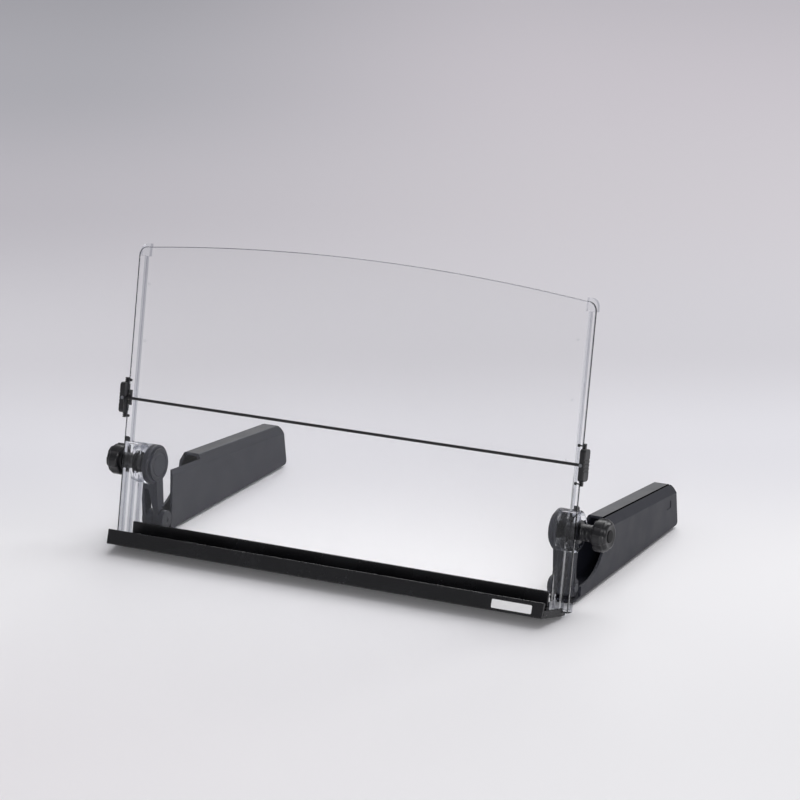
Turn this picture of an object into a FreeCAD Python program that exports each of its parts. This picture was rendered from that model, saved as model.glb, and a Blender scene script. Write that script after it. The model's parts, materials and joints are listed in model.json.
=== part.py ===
import FreeCAD, Part
import math
import os
from FreeCAD import Vector

# A desk copy holder. A clear panel with a tray along its foot hangs by its two side rails on a
# pair of arms, which stand in two legs. A thin rod slides up and down the panel to mark a line.
# Everything is built about the hub axis, on which the panel tilts: X runs across the width to
# the right, Y to the back and Z up. Pieces of the panel are built upright and tilted back after.
# The finished holder is moved so that its origin is the middle of its box, on the desk.

# Driving dimensions of the panel
panel_width = 457.2
sheet_side_height = 269.3
sheet_thickness = 2.8
sheet_arch_rise = 12.5
sheet_corner_radius = 8.0
sheet_foot_below_hub = 68.8
rest_tilt_deg = 12.2

# Fits and clearances shared by all pieces
moving_gap = 0.3
shaft_clearance = 0.08
overrun = 1.0

# Hub: the arm's head, the rail's ear, two washers, a clamp bolt and a knob on one axis
hub_radius = 18.5
hub_to_sheet_gap = 0.5
hub_edge = 0.6
arm_head_thickness = 6.3
head_groove_width = 0.8
head_groove_depth = 0.6
inner_washer_thickness = 0.8
inner_washer_radius = 15.0
outer_washer_thickness = 1.5
outer_washer_radius = 10.5
sleeve_radius = 7.4
bolt_radius = 3.0
bolt_head_across_flats = 10.0
bolt_head_height = 3.8
hub_cap_thickness = 2.2
hub_cap_radius = 15.5
hub_cap_edge = 0.8
hub_cap_spigot_radius = 7.0

# Side rail: a wide channel at the foot, a slim rib above it and a rounded tab at the top
rail_foot_width = 18.0
rail_foot_depth = 8.0
rail_foot_top = 20.0
rail_wall = 2.0
ear_thickness = 12.0
rib_from_edge = 7.2
rib_width = 2.0
rib_depth = 4.5
tab_width = 10.0
tab_height = 11.5
tab_above_sheet = 3.0
tab_radius = 7.0

# Tray: a floor under the panel, a low lip in front, and two walls that hold the sheet
tray_floor = 2.4
tray_depth = 32.0
tray_front_end_inset = 9.7
tray_rear_end_inset = 4.0
tray_end_setback = 28.8
lip_height = 13.5
lip_wall = 2.4
lip_lean_deg = 9.0
tray_wall = 2.5
tray_front_wall_height = 17.0
tray_rear_wall = 2.2
tray_rear_wall_height = 7.0
tray_end_wall = 2.2
tray_end_height = 6.5
tray_edge_radius = 1.0
tray_desk_clearance = 1.0
label_length = 38.0
label_height = 7.6
label_thickness = 0.4
label_from_end = 10.0
label_above_floor = 2.6

# Clips that hold the sheet in the tray, in pairs along the foot
clip_pairs = 6
clip_span_share = 0.86
clip_spacing = 5.0
clip_radius = 1.3
clip_head_radius = 2.1
clip_head_height = 1.0

# Line guide: a rod between two sliders that run on the panel's side edges
rod_radius = 1.35
rod_before_sheet = 3.0
guide_above_hub = 60.8
slider_height = 28.0
slider_thickness = 5.2
slider_front = 6.0
slider_corner_radius = 3.0
slider_edge = 0.8
slider_groove_count = 4
slider_groove_pitch = 3.2
slider_groove_width = 1.2
slider_groove_depth = 0.6
slider_arm_length = 4.4
slider_arm_thickness = 2.6
slider_arm_depth = 3.6
slider_jaw_reach = 3.0
slider_jaw_thickness = 2.0
slider_jaw_height = 14.0
slider_pin_radius = 1.2
slider_pin_from_tip = 1.9
slider_pin_reach = 4.4
rod_seat_depth = 3.4
slider_screw_radius = 0.8
slider_screw_head_radius = 1.5
slider_screw_head_height = 0.7

# Small studs on the panel and the black stops at the lower end of the guide's track
stud_radius = 1.4
stud_height = 0.8
stud_from_edge = 13.8
stud_place_shares = (0.49, 0.683, 0.876)
stop_height = 5.0
stop_width = 4.0
stop_depth = 3.4
stop_slope = 2.0

# Knob
knob_neck_length = 15.3
knob_neck_radius = 7.4
knob_flange_radius = 9.6
knob_flange_thickness = 2.2
knob_radius = 14.6
knob_grip_length = 9.6
knob_dome_height = 3.4
knob_dome_radius = 9.5
knob_lobes = 6
knob_scallop_radius = 6.0
knob_scallop_depth = 1.9
knob_edge = 1.2
knob_lobe_radius = 1.5
insert_radius = 4.6
insert_length = 13.0
insert_depth = 1.6
knob_cap_radius = 5.6
knob_cap_thickness = 2.0

# Arm: an upright with a tapered window below its head and a fork at its foot
arm_depth = 11.0
arm_inner_overhang = 1.8
arm_window_top_width = 4.0
arm_window_top_rail = 4.6
arm_outer_bar = 3.4
toe_radius = 8.4
toe_axis_height = 14.0
toe_pin_radius = 2.5
toe_pin_head_radius = 4.0
toe_pin_head_height = 1.6
toe_pin_proud = 0.8
knuckle_width = 8.0
toe_behind_hub = 2.0

# Leg: two shells that meet along the outer ridge of the top
leg_wall = 2.5
leg_thickness = 25.0
leg_inner_beyond_arm = 5.2
leg_reach = 228.0
leg_rear_slant = 5.0
leg_front_top_below_hub = 4.0
leg_front = 15.0
leg_top_drop = 19.0
leg_rear_top_radius = 9.0
leg_rear_foot_radius = 4.0
leg_edge_radius = 1.6
leg_bevel_width = 5.0
leg_bevel_height = 9.0
leg_toe_front = 8.0
sole_before_toe = 6.0
sole_corner_radius = 4.0
leg_seam_width = 0.8
leg_seam_depth = 1.0
recess_radius = 49.0
recess_behind_hub = 20.0
recess_below_hub = 5.0
plaque_length = 9.0
plaque_height = 7.0
plaque_depth = 0.5
plaque_from_rear = 13.0
plaque_below_bevel = 5.0
dowel_radius = 2.0
dowel_boss_radius = 4.2
dowel_boss_gap = 0.2
dowel_end_wall = 2.7
dowel_place_shares = (0.42, 0.66, 0.88)
dowel_height_share = 0.45

# Feet
foot_thickness = 2.0
foot_width = 13.0
foot_length = 24.0
foot_radius = 4.0
foot_end_margin = 10.0
foot_toe_margin = 2.0

# Places that follow from the sizes above
panel_half = panel_width / 2
sheet_back = -(hub_radius + hub_to_sheet_gap)
sheet_front = sheet_back - sheet_thickness
sheet_foot = -sheet_foot_below_hub
sheet_corner = sheet_foot + sheet_side_height
rib_outer = panel_half - rib_from_edge + rib_width
rib_inner = panel_half - rib_from_edge
foot_inner = panel_half - rail_foot_width
ear_outer = foot_inner + ear_thickness
ear_web = foot_inner + rail_wall
head_outer = foot_inner - moving_gap - inner_washer_thickness
head_inner = head_outer - arm_head_thickness
outer_washer_start = ear_outer + moving_gap
knob_start = outer_washer_start + outer_washer_thickness + moving_gap
grip_start = knob_start + knob_neck_length
grip_end = grip_start + knob_grip_length
knob_end = grip_end + knob_dome_height
tray_front_half = panel_half - tray_front_end_inset
tray_rear_half = panel_half - tray_rear_end_inset
tray_bottom = sheet_foot - tray_floor
tray_front = sheet_front - tray_depth
tray_back = sheet_back + tray_rear_wall
tilt = math.radians(rest_tilt_deg)
tray_lowest = tray_bottom * math.cos(tilt) - tray_back * math.sin(tilt)
desk = tray_lowest - tray_desk_clearance
leg_bottom = desk + foot_thickness
toe_z = desk + toe_axis_height
arm_inner = head_inner - arm_inner_overhang
leg_inner = arm_inner - leg_inner_beyond_arm
leg_outer = leg_inner + leg_thickness
leg_split = leg_outer - leg_bevel_width
fork_outer = leg_outer - leg_wall - moving_gap
knuckle_outer = fork_outer - arm_outer_bar - moving_gap
knuckle_inner = knuckle_outer - knuckle_width
leg_front_top = -leg_front_top_below_hub
leg_rear_top = leg_front_top - leg_top_drop
leg_start = 2 * hub_radius
sole_front = toe_behind_hub - sole_before_toe
boss_meeting = leg_outer - leg_wall - dowel_boss_radius
dowel_half = leg_wall + dowel_boss_radius - dowel_end_wall
clip_height = sheet_foot + tray_rear_wall_height / 2
slider_inner = panel_half + moving_gap
slider_face = sheet_front - slider_front
slider_pin_y = sheet_front - moving_gap - slider_pin_radius
slider_pin_offset = slider_height / 2 + slider_arm_length - slider_pin_from_tip
slider_pin_heights = (guide_above_hub - slider_pin_offset, guide_above_hub + slider_pin_offset)
rod_y = sheet_front - rod_before_sheet
rod_end = slider_inner + rod_seat_depth
screw_x = slider_inner + rod_seat_depth / 2
insert_end = knob_end - knob_cap_thickness - insert_depth
insert_start = insert_end - insert_length


def block(x0, x1, y0, y1, z0, z1):
    """A box between two corners."""
    return Part.makeBox(x1 - x0, y1 - y0, z1 - z0, Vector(x0, y0, z0))


def round_bar(radius, x0, x1, y=0, z=0):
    """A cylinder along X."""
    return Part.makeCylinder(radius, x1 - x0, Vector(x0, y, z), Vector(1, 0, 0))


def rounded_wire(points, radii):
    """A closed wire through the points, each corner rounded by its radius."""
    edges = []
    ends = []
    count = len(points)
    for i in range(count):
        corner = points[i]
        before = points[i - 1] - corner
        after = points[(i + 1) % count] - corner
        before.normalize()
        after.normalize()
        if radii[i] <= 0:
            ends.append((corner, corner, None))
            continue
        half = before.getAngle(after) / 2
        reach = radii[i] / math.tan(half)
        middle = before + after
        middle.normalize()
        centre = corner + middle * (radii[i] / math.sin(half))
        ends.append((corner + before * reach, corner + after * reach, centre - middle * radii[i]))
    for i in range(count):
        start, finish, top = ends[i]
        following = ends[(i + 1) % count][0]
        if top is not None:
            edges.append(Part.Arc(start, top, finish).toShape())
        edges.append(Part.makeLine(finish, following))
    return Part.Wire(edges)


def rectangle(u0, u1, v0, v1):
    """The corners of a rectangle in a plane."""
    return [(u0, v0), (u1, v0), (u1, v1), (u0, v1)]


def side_prism(points, x0, x1, radii=None):
    """A prism along X over (y, z) points."""
    corners = [Vector(x0, y, z) for y, z in points]
    face = Part.Face(rounded_wire(corners, radii or [0] * len(corners)))
    return face.extrude(Vector(x1 - x0, 0, 0))


def front_prism(points, y0, y1, radii=None):
    """A prism along Y over (x, z) points."""
    corners = [Vector(x, y0, z) for x, z in points]
    face = Part.Face(rounded_wire(corners, radii or [0] * len(corners)))
    return face.extrude(Vector(0, y1 - y0, 0))


def plan_prism(points, z0, z1, radii=None):
    """A prism along Z over (x, y) points."""
    corners = [Vector(x, y, z0) for x, y in points]
    face = Part.Face(rounded_wire(corners, radii or [0] * len(corners)))
    return face.extrude(Vector(0, 0, z1 - z0))


def turned(profile):
    """A solid of revolution about the hub axis, from (x, radius) points."""
    corners = [Vector(x, radius, 0) for x, radius in profile]
    face = Part.Face(rounded_wire(corners, [0] * len(corners)))
    return face.revolve(Vector(0, 0, 0), Vector(1, 0, 0), 360)


def hub_disc(x0, x1):
    """A round disc of the hub with its two rims chamfered."""
    rim = hub_radius - hub_edge
    return turned([(x0, 0), (x0, rim), (x0 + hub_edge, hub_radius),
                   (x1 - hub_edge, hub_radius), (x1, rim), (x1, 0)])


def mirrored(shape):
    """The same piece on the left side."""
    return shape.mirror(Vector(0, 0, 0), Vector(1, 0, 0))


def both_sides(shapes):
    """Separate solids for both sides in one piece list."""
    return list(shapes) + [mirrored(shape) for shape in shapes]


def tilted(shape):
    """An upright piece of the panel, leant back about the hub axis."""
    leant = shape.copy()
    leant.rotate(Vector(0, 0, 0), Vector(1, 0, 0), -rest_tilt_deg)
    return leant


def top_line(y):
    """Height of the leg's sloping top at a place along it."""
    slope = (leg_rear_top - leg_front_top) / (leg_reach - leg_rear_slant - leg_front)
    return leg_front_top + slope * (y - leg_front)


def clip_places():
    """The clips' places along X, pair by pair."""
    places = []
    pitch = clip_span_share * panel_width / (clip_pairs - 1)
    for pair in range(clip_pairs):
        middle = (pair - (clip_pairs - 1) / 2) * pitch
        places += [middle - clip_spacing / 2, middle + clip_spacing / 2]
    return places


def clear_panel():
    """The clear sheet with its arched top edge and the clips' holes."""
    chord = panel_half - sheet_corner_radius
    shoulder = sheet_corner - sheet_corner_radius
    arch_start = Vector(-chord, sheet_front, sheet_corner)
    arch_top = Vector(0, sheet_front, sheet_corner + sheet_arch_rise)
    arch_end = Vector(chord, sheet_front, sheet_corner)
    diagonal = sheet_corner_radius * math.sin(math.pi / 4)
    corner_x = chord + diagonal
    corner_z = shoulder + diagonal
    right_side = Vector(panel_half, sheet_front, shoulder)
    left_side = Vector(-panel_half, sheet_front, shoulder)
    right_foot = Vector(panel_half, sheet_front, sheet_foot)
    left_foot = Vector(-panel_half, sheet_front, sheet_foot)
    outline = Part.Wire([
        Part.makeLine(left_foot, right_foot),
        Part.makeLine(right_foot, right_side),
        Part.Arc(right_side, Vector(corner_x, sheet_front, corner_z), arch_end).toShape(),
        Part.Arc(arch_end, arch_top, arch_start).toShape(),
        Part.Arc(arch_start, Vector(-corner_x, sheet_front, corner_z), left_side).toShape(),
        Part.makeLine(left_side, left_foot),
    ])
    sheet = Part.Face(outline).extrude(Vector(0, sheet_thickness, 0))
    return sheet.cut(clip_holes(sheet_front - overrun, sheet_back + overrun))


def clip_holes(y0, y1):
    """Round holes for all the clips between two depths."""
    depth = y1 - y0
    holes = [Part.makeCylinder(clip_radius, depth, Vector(x, y0, clip_height), Vector(0, 1, 0))
             for x in clip_places()]
    return Part.Compound(holes)


def sheet_clips():
    """Clear clips through the tray's rear wall and the sheet, each with a round head."""
    clips = []
    back = Vector(0, 1, 0)
    for x in clip_places():
        start = Vector(x, sheet_front, clip_height)
        end = Vector(x, tray_back, clip_height)
        shank = Part.makeCylinder(clip_radius, tray_back - sheet_front, start, back)
        head = Part.makeCone(clip_head_radius, clip_radius, clip_head_height, end, back)
        clips.append(shank.fuse(head))
    return clips


def side_rail():
    """The right rail: a ribbed channel with the hub's hollow ear, a slim rib and a top tab."""
    foot_back = sheet_back + rail_foot_depth
    foot = block(foot_inner, panel_half, sheet_back, foot_back, sheet_foot, rail_foot_top)
    bay = (rail_foot_width - 3 * rail_wall) / 2
    for start in (foot_inner + rail_wall, foot_inner + 2 * rail_wall + bay):
        foot = foot.cut(block(start, start + bay, sheet_back + rail_wall, foot_back + overrun,
                              sheet_foot + rail_wall, rail_foot_top - rail_wall))
    hollow = round_bar(hub_radius - rail_wall, ear_web, ear_outer + overrun)
    ear = hub_disc(foot_inner, ear_outer).cut(hollow)
    front_side = block(foot_inner - overrun, ear_outer + overrun, -hub_radius - overrun, sheet_back,
                       -hub_radius, hub_radius)
    tab_top = sheet_corner + tab_above_sheet
    tab_inner = panel_half - tab_width
    tab_foot = tab_top - tab_height
    tab = front_prism(rectangle(tab_inner, panel_half, tab_foot, tab_top), sheet_back, sheet_back + rib_depth,
                      [0, 0, tab_radius, 0])
    rib = block(rib_inner, rib_outer, sheet_back, sheet_back + rib_depth, rail_foot_top, tab_foot)
    rail = foot.fuse([ear.cut(front_side), rib, tab]).removeSplitter()
    return rail.cut(round_bar(bolt_radius + shaft_clearance, foot_inner - overrun, ear_outer + overrun))


def tray_plan(inset):
    """The tray's plan outline, drawn in by an amount at its ends."""
    setback = tray_front + tray_end_setback
    front_half = tray_front_half - inset
    rear_half = tray_rear_half - inset
    return [(-front_half, tray_front), (front_half, tray_front), (rear_half, setback), (rear_half, tray_back),
            (-rear_half, tray_back), (-rear_half, setback)]


def document_tray():
    """The black tray: floor, leaning lip, end walls and the two walls that hold the sheet."""
    lean = lip_height * math.tan(math.radians(lip_lean_deg))
    lip_top = tray_bottom + lip_height
    reach = tray_rear_half + overrun
    low = sheet_foot - tray_floor / 2
    floor_and_lip = side_prism(
        [(tray_front, tray_bottom), (tray_front + lean, lip_top), (tray_front + lean + lip_wall, lip_top),
         (tray_front + lip_wall, sheet_foot), (tray_back, sheet_foot), (tray_back, tray_bottom)],
        -reach, reach, [tray_edge_radius] * 3 + [0, 0, tray_edge_radius])
    above = tray_bottom + lip_height + overrun
    tray = floor_and_lip.common(plan_prism(tray_plan(0), tray_bottom - overrun, above))
    end_top = tray_bottom + tray_end_height
    ring = plan_prism(tray_plan(0), tray_bottom, end_top)
    ring = ring.cut(plan_prism(tray_plan(tray_end_wall), tray_bottom, end_top))
    behind_lip = tray_front + lean + lip_wall / 2
    ring = ring.common(block(-reach, reach, behind_lip, sheet_front, tray_bottom, end_top))
    wall_half = foot_inner - moving_gap
    wall_profile = rectangle(sheet_front - tray_wall, sheet_front, low, sheet_foot + tray_front_wall_height)
    front_wall = side_prism(wall_profile, -wall_half, wall_half, [0, 0, 0, tray_edge_radius])
    rear_wall = block(-wall_half, wall_half, sheet_back, tray_back, low, sheet_foot + tray_rear_wall_height)
    tray = tray.fuse([ring, front_wall, rear_wall]).removeSplitter()
    return tray.cut(clip_holes(sheet_back, tray_back + overrun))


def blank_label():
    """A plain label on the lip's leaning front face, near its right end."""
    end = tray_front_half - label_from_end
    low = tray_bottom + label_above_floor
    label = block(end - label_length, end, tray_front - label_thickness, tray_front, low, low + label_height)
    label.rotate(Vector(0, tray_front, tray_bottom), Vector(1, 0, 0), -lip_lean_deg)
    return label


def guide_studs():
    """Small clear studs on the front of the sheet, inboard of each rail."""
    studs = []
    for share in stud_place_shares:
        place = Vector(panel_half - stud_from_edge, sheet_front, sheet_foot + share * sheet_side_height)
        studs.append(Part.makeCylinder(stud_radius, stud_height, place, Vector(0, -1, 0)))
    return both_sides(studs)


def guide_stops():
    """Black wedges at the lower end of the guide's track, behind the sheet's edges."""
    low = rail_foot_top
    top = low + stop_height
    back = sheet_back + stop_depth
    profile = [(sheet_back, low), (back, low), (back, top - stop_slope), (sheet_back, top)]
    return both_sides([side_prism(profile, panel_half - stop_width, panel_half)])


def slider():
    """The right slider: a block beside the sheet's edge, a jaw behind it and two hooked arms."""
    outer = slider_inner + slider_thickness
    jaw_front = sheet_back + moving_gap
    back = jaw_front + slider_jaw_thickness
    top = guide_above_hub + slider_height / 2
    foot = guide_above_hub - slider_height / 2
    profile = rectangle(slider_face, back, foot, top)
    body = side_prism(profile, slider_inner, outer, [slider_corner_radius] * 4)
    outer_edges = [edge for edge in body.Edges if edge.BoundBox.XMin > outer - slider_edge]
    body = body.makeFillet(slider_edge, outer_edges)
    jaw = block(slider_inner - slider_jaw_reach, slider_inner + slider_edge, jaw_front, back,
                guide_above_hub - slider_jaw_height / 2, guide_above_hub + slider_jaw_height / 2)
    arm_back = sheet_front + slider_arm_depth / 2
    arm_outer = slider_inner + slider_arm_thickness
    hooks = block(slider_inner, arm_outer, arm_back - slider_arm_depth, arm_back,
                  foot - slider_arm_length, top + slider_arm_length)
    body = body.fuse([jaw, hooks]).removeSplitter()
    for z in slider_pin_heights:
        body = body.cut(round_bar(slider_pin_radius, slider_inner - overrun, arm_outer, slider_pin_y, z))
    body = body.cut(round_bar(rod_radius, slider_inner - overrun, rod_end, rod_y, guide_above_hub))
    for step in range(slider_groove_count):
        middle = guide_above_hub + (step - (slider_groove_count - 1) / 2) * slider_groove_pitch
        half = slider_groove_width / 2
        body = body.cut(block(outer - slider_groove_depth, outer + overrun, slider_face - overrun,
                              back + overrun, middle - half, middle + half))
    start = Vector(screw_x, slider_face - overrun, guide_above_hub)
    screw_hole = Part.makeCylinder(slider_screw_radius, rod_y - start.y, start, Vector(0, 1, 0))
    return body.cut(screw_hole)


def slider_pins():
    """Four short pins that reach in over the sheet's edges."""
    start = slider_inner - slider_pin_reach
    end = slider_inner + slider_arm_thickness
    return both_sides([round_bar(slider_pin_radius, start, end, slider_pin_y, z) for z in slider_pin_heights])


def rod_screws():
    """Set screws that hold the rod in the sliders."""
    place = Vector(screw_x, slider_face, guide_above_hub)
    shank_length = rod_y - rod_radius - slider_face
    shank = Part.makeCylinder(slider_screw_radius, shank_length, place, Vector(0, 1, 0))
    head = Part.makeCylinder(slider_screw_head_radius, slider_screw_head_height, place, Vector(0, -1, 0))
    return both_sides([shank.fuse(head)])


def guide_rod():
    """The line guide's rod from slider to slider."""
    return round_bar(rod_radius, -rod_end, rod_end, rod_y, guide_above_hub)


def knob():
    """The right knob: a neck with a flange, a lobed grip and a domed end."""
    flange_start = grip_start - knob_flange_thickness
    shoulder = knob_radius - knob_edge
    body = turned([(knob_start, 0), (knob_start, knob_neck_radius), (flange_start, knob_neck_radius),
                   (flange_start, knob_flange_radius), (grip_start, knob_flange_radius),
                   (grip_start, shoulder), (grip_start + knob_edge, knob_radius),
                   (grip_end - knob_edge, knob_radius), (grip_end, shoulder),
                   (knob_end, knob_dome_radius), (knob_end, 0)])
    reach = knob_radius + knob_scallop_radius - knob_scallop_depth
    scallops = []
    for lobe in range(knob_lobes):
        angle = math.pi * (2 * lobe + 1) / knob_lobes
        scallops.append(round_bar(knob_scallop_radius, grip_start - overrun, knob_end + overrun,
                                  reach * math.cos(angle), reach * math.sin(angle)))
    body = body.cut(scallops)
    tips = [edge for edge in body.Edges
            if edge.BoundBox.XLength > knob_grip_length / 2
            and math.hypot(edge.CenterOfMass.y, edge.CenterOfMass.z) > (knob_flange_radius + knob_radius) / 2]
    body = body.makeFillet(knob_lobe_radius, tips)
    cap_start = knob_end - knob_cap_thickness
    bore = round_bar(bolt_radius + 2 * shaft_clearance, knob_start - overrun, insert_start)
    seat = round_bar(insert_radius, insert_start, cap_start)
    cap_seat = round_bar(knob_cap_radius, cap_start, knob_end + overrun)
    return body.cut([bore, seat, cap_seat]).removeSplitter()


def knob_insert():
    """The threaded brass insert in the knob."""
    bore = round_bar(bolt_radius + shaft_clearance, insert_start - overrun, insert_end + overrun)
    return round_bar(insert_radius, insert_start, insert_end).cut(bore)


def knob_cap():
    """The round cap that closes the knob's end."""
    return round_bar(knob_cap_radius, knob_end - knob_cap_thickness, knob_end)


def hexagon(across_flats, x0, x1):
    """A hexagonal prism along X."""
    corner = across_flats / math.sqrt(3)
    points = [(corner * math.cos(math.pi * k / 3), corner * math.sin(math.pi * k / 3)) for k in range(6)]
    return side_prism(points, x0, x1)


def clamp_bolt():
    """The right clamp bolt: a hexagon head in the arm and a shank out through the knob's insert."""
    head = hexagon(bolt_head_across_flats, head_inner, head_inner + bolt_head_height)
    return head.fuse(round_bar(bolt_radius, head_inner, insert_end)).removeSplitter()


def hub_washers():
    """The washers on each side of the rail's ear. The outer one has a sleeve that fills the hollow."""
    inner = round_bar(inner_washer_radius, head_outer, head_outer + inner_washer_thickness)
    outer = round_bar(outer_washer_radius, outer_washer_start, outer_washer_start + outer_washer_thickness)
    outer = outer.fuse(round_bar(sleeve_radius, ear_web + moving_gap, outer_washer_start)).removeSplitter()
    bore = round_bar(bolt_radius, head_outer - overrun, outer_washer_start + outer_washer_thickness + overrun)
    return both_sides([inner.cut(bore), outer.cut(bore)])


def hub_cap():
    """The shallow cap over the bolt's head on the arm's inner face."""
    face = head_inner - hub_cap_thickness
    return turned([(face, 0), (face, hub_cap_radius - hub_cap_edge), (face + hub_cap_edge, hub_cap_radius),
                   (head_inner, hub_cap_radius), (head_inner, 0)])


def arm():
    """The right arm: round head, upright with a tapered window, and a fork about the toe pin."""
    half = arm_depth / 2
    middle = (head_inner + head_outer) / 2
    groove = round_bar(hub_radius + overrun, middle - head_groove_width / 2, middle + head_groove_width / 2)
    groove = groove.cut(round_bar(hub_radius - head_groove_depth, head_inner, head_outer))
    head = hub_disc(head_inner, head_outer).cut(groove)
    bar_top = -hub_radius - moving_gap
    upright = front_prism([(arm_inner, toe_z), (arm_inner, 0), (head_outer, 0), (head_outer, bar_top),
                           (fork_outer, bar_top), (fork_outer, toe_z)], -half, half)
    barrel = round_bar(toe_radius, leg_inner, fork_outer, toe_behind_hub, toe_z)
    window_inner = knuckle_inner - moving_gap
    window_outer = fork_outer - arm_outer_bar
    window_foot = toe_z - toe_radius - overrun
    window_top = bar_top - arm_window_top_rail
    window = front_prism([(window_inner, window_foot), (window_inner, toe_z + toe_radius),
                          (window_outer - arm_window_top_width, window_top), (window_outer, window_top),
                          (window_outer, window_foot)],
                         -half - toe_radius, half + toe_radius + toe_behind_hub)
    fork = upright.fuse(barrel).cut(window)
    body = head.fuse(fork).removeSplitter()
    pocket = hexagon(bolt_head_across_flats, arm_inner - overrun, head_inner + bolt_head_height)
    cap_room = round_bar(hub_cap_radius, arm_inner - overrun, head_inner)
    bolt_hole = round_bar(bolt_radius, head_inner - overrun, head_outer + overrun)
    pin_hole = round_bar(toe_pin_radius + shaft_clearance, leg_inner - overrun, fork_outer + overrun,
                         toe_behind_hub, toe_z)
    return body.cut([pocket, cap_room, bolt_hole, pin_hole])


def toe_pin():
    """The right toe pin, with its head at the outer end."""
    head_face = fork_outer + moving_gap
    pin = round_bar(toe_pin_radius, leg_inner + toe_pin_proud, head_face, toe_behind_hub, toe_z)
    head = round_bar(toe_pin_head_radius, head_face, head_face + toe_pin_head_height, toe_behind_hub, toe_z)
    return pin.fuse(head)


def leg_form(inset):
    """The leg's whole form, drawn in by an amount all round, with both top edges bevelled."""
    rear = leg_reach - inset
    low = leg_bottom + inset
    points = [(leg_toe_front, low), (rear, low), (rear - leg_rear_slant, top_line(rear) - inset),
              (leg_front, top_line(leg_front) - inset), ((leg_toe_front + leg_front) / 2, toe_z + toe_radius)]
    radii = [0, max(leg_rear_foot_radius - inset, 0), max(leg_rear_top_radius - inset, 0), 0, 0]
    form = side_prism(points, leg_inner + inset, leg_outer - inset, radii)
    wedges = [bevel_wedge(leg_inner + inset, 1, inset), bevel_wedge(leg_outer - inset, -1, inset)]
    return form.cut(wedges)


def leg_body():
    """The leg's whole form with its sole, the long edges of both rounded."""
    form = leg_form(0)
    long_edges = [edge for edge in form.Edges if edge.BoundBox.YMax > recess_behind_hub]
    sole = toe_sole()
    middle = leg_bottom + leg_wall / 2
    under = [edge for edge in sole.Edges if edge.BoundBox.ZMax < middle and edge.BoundBox.YMin < leg_front]
    rounded_sole = sole.makeFillet(leg_edge_radius, under)
    return form.makeFillet(leg_edge_radius, long_edges).fuse(rounded_sole).removeSplitter()


def bevel_wedge(edge, inward, inset):
    """A wedge that takes one top edge off, along the sloping top."""
    run = leg_start + 2 * leg_reach
    fall = top_line(run) - top_line(0)
    top = top_line(-leg_start) - inset
    outside = edge - inward * overrun
    inside = edge + inward * leg_bevel_width
    low = top - leg_bevel_height
    profile = [(outside, top + overrun), (inside, top + overrun), (inside, top), (edge, low), (outside, low)]
    corners = [Vector(x, -leg_start, z) for x, z in profile]
    return Part.Face(rounded_wire(corners, [0] * len(corners))).extrude(Vector(0, run, fall))


def arm_recess():
    """The round room for the arm and the hub, open to the front and above."""
    inner = leg_inner + leg_wall
    outer = leg_outer + overrun
    level = -recess_below_hub
    drum = round_bar(recess_radius, inner, outer, recess_behind_hub, level)
    above = block(inner, outer, -leg_start, recess_behind_hub + recess_radius, level, recess_radius)
    before = block(inner, outer, -leg_start, recess_behind_hub, level - recess_radius, level)
    toe_end = leg_outer - leg_wall
    toe_room = round_bar(toe_radius + 2 * moving_gap, leg_inner - overrun, toe_end, toe_behind_hub, toe_z)
    toe_front = block(leg_inner - overrun, toe_end, -leg_start, toe_behind_hub, leg_bottom + leg_wall, 0)
    return [drum, above, before, toe_room, toe_front]


def leg_shells():
    """The right leg's inner and outer shells."""
    form = leg_body()
    rear = leg_reach + overrun
    floor = leg_bottom + leg_wall
    front = block(leg_inner + leg_wall, leg_outer - leg_wall, -leg_start, recess_behind_hub, floor, 0)
    hollow = leg_form(leg_wall).fuse(front)
    shell = form.cut(hollow).cut(arm_recess())
    skin = form.cut(leg_form(leg_seam_depth))
    half_seam = leg_seam_width / 2
    seam = skin.common(block(leg_split - half_seam, leg_split + half_seam, -leg_start, rear, floor, 0))
    shell = shell.cut(seam)
    inner_shell = shell.common(block(leg_inner - overrun, leg_split, -leg_start, rear, desk, hub_radius))
    outer_shell = shell.common(block(leg_split, leg_outer + overrun, -leg_start, rear, desk, hub_radius))
    for y, z in dowel_places():
        inner_boss = round_bar(dowel_boss_radius, leg_inner + leg_wall / 2, boss_meeting, y, z)
        outer_start = boss_meeting + dowel_boss_gap
        outer_boss = round_bar(dowel_boss_radius, outer_start, leg_outer - leg_wall / 2, y, z)
        hole = round_bar(dowel_radius, boss_meeting - dowel_half, boss_meeting + dowel_half, y, z)
        inner_shell = inner_shell.fuse(inner_boss).cut(hole)
        outer_shell = outer_shell.fuse(outer_boss).cut(hole)
    inner_shell = inner_shell.fuse(toe_knuckle()).removeSplitter()
    return inner_shell, outer_shell.cut(plaque()).removeSplitter()


def toe_sole():
    """The flat sole that runs forward under the toe pin."""
    return plan_prism(rectangle(leg_inner, leg_outer, sole_front, recess_behind_hub), leg_bottom,
                      leg_bottom + leg_wall, [sole_corner_radius, sole_corner_radius, 0, 0])


def toe_knuckle():
    """The knuckle about the toe pin, between the arm's two bars, on its web."""
    knuckle = round_bar(toe_radius, knuckle_inner, knuckle_outer, toe_behind_hub, toe_z)
    web = block(knuckle_inner, knuckle_outer, toe_behind_hub, recess_behind_hub, leg_bottom, toe_z)
    hole = round_bar(toe_pin_radius, knuckle_inner - overrun, knuckle_outer + overrun, toe_behind_hub, toe_z)
    return knuckle.fuse(web).cut(hole)


def plaque():
    """The shallow plain recess near the rear of the leg's outer side."""
    rear = leg_reach - leg_rear_slant - plaque_from_rear
    top = top_line(rear) - leg_bevel_height - plaque_below_bevel
    inner = leg_outer - plaque_depth
    return block(inner, leg_outer + overrun, rear - plaque_length, rear, top - plaque_height, top)


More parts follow.
